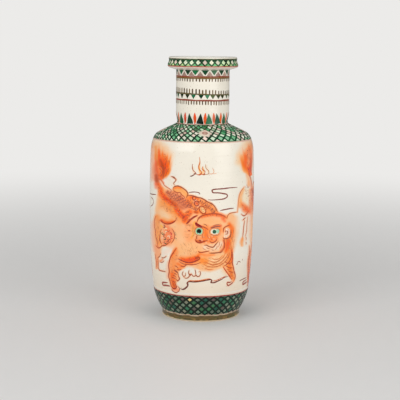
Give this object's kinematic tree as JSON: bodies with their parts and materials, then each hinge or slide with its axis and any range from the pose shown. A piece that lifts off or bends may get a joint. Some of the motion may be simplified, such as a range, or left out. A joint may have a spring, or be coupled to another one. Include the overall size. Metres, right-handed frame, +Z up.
{
  "type": "vase",
  "caption": "Tall rouleau vase of enamelled porcelain: spreading foot, near-cylindrical body, round shoulder, straight neck and dish mouth.",
  "frame": {"origin": "centre of the plane that the foot ring rests on", "axes": "+Z up along the vase's axis of revolution; -Y faces the viewer of the painted front"},
  "size_m": [0.1816, 0.1816, 0.45],
  "materials": {
    "porcelain": "clear glossy glaze over cream-white porcelain",
    "slip": "fired slip, unglazed"
  },
  "bodies": {
    "root": {"foot": "porcelain", "foot_slip": "slip", "lower_body": "porcelain", "waist_slip": "slip", "upper_body": "porcelain", "shoulder_slip": "slip", "shoulder": "porcelain", "throat_slip": "slip", "neck": "porcelain", "mouth_slip": "slip", "mouth_rim": "porcelain"}
  },
  "joints": []
}
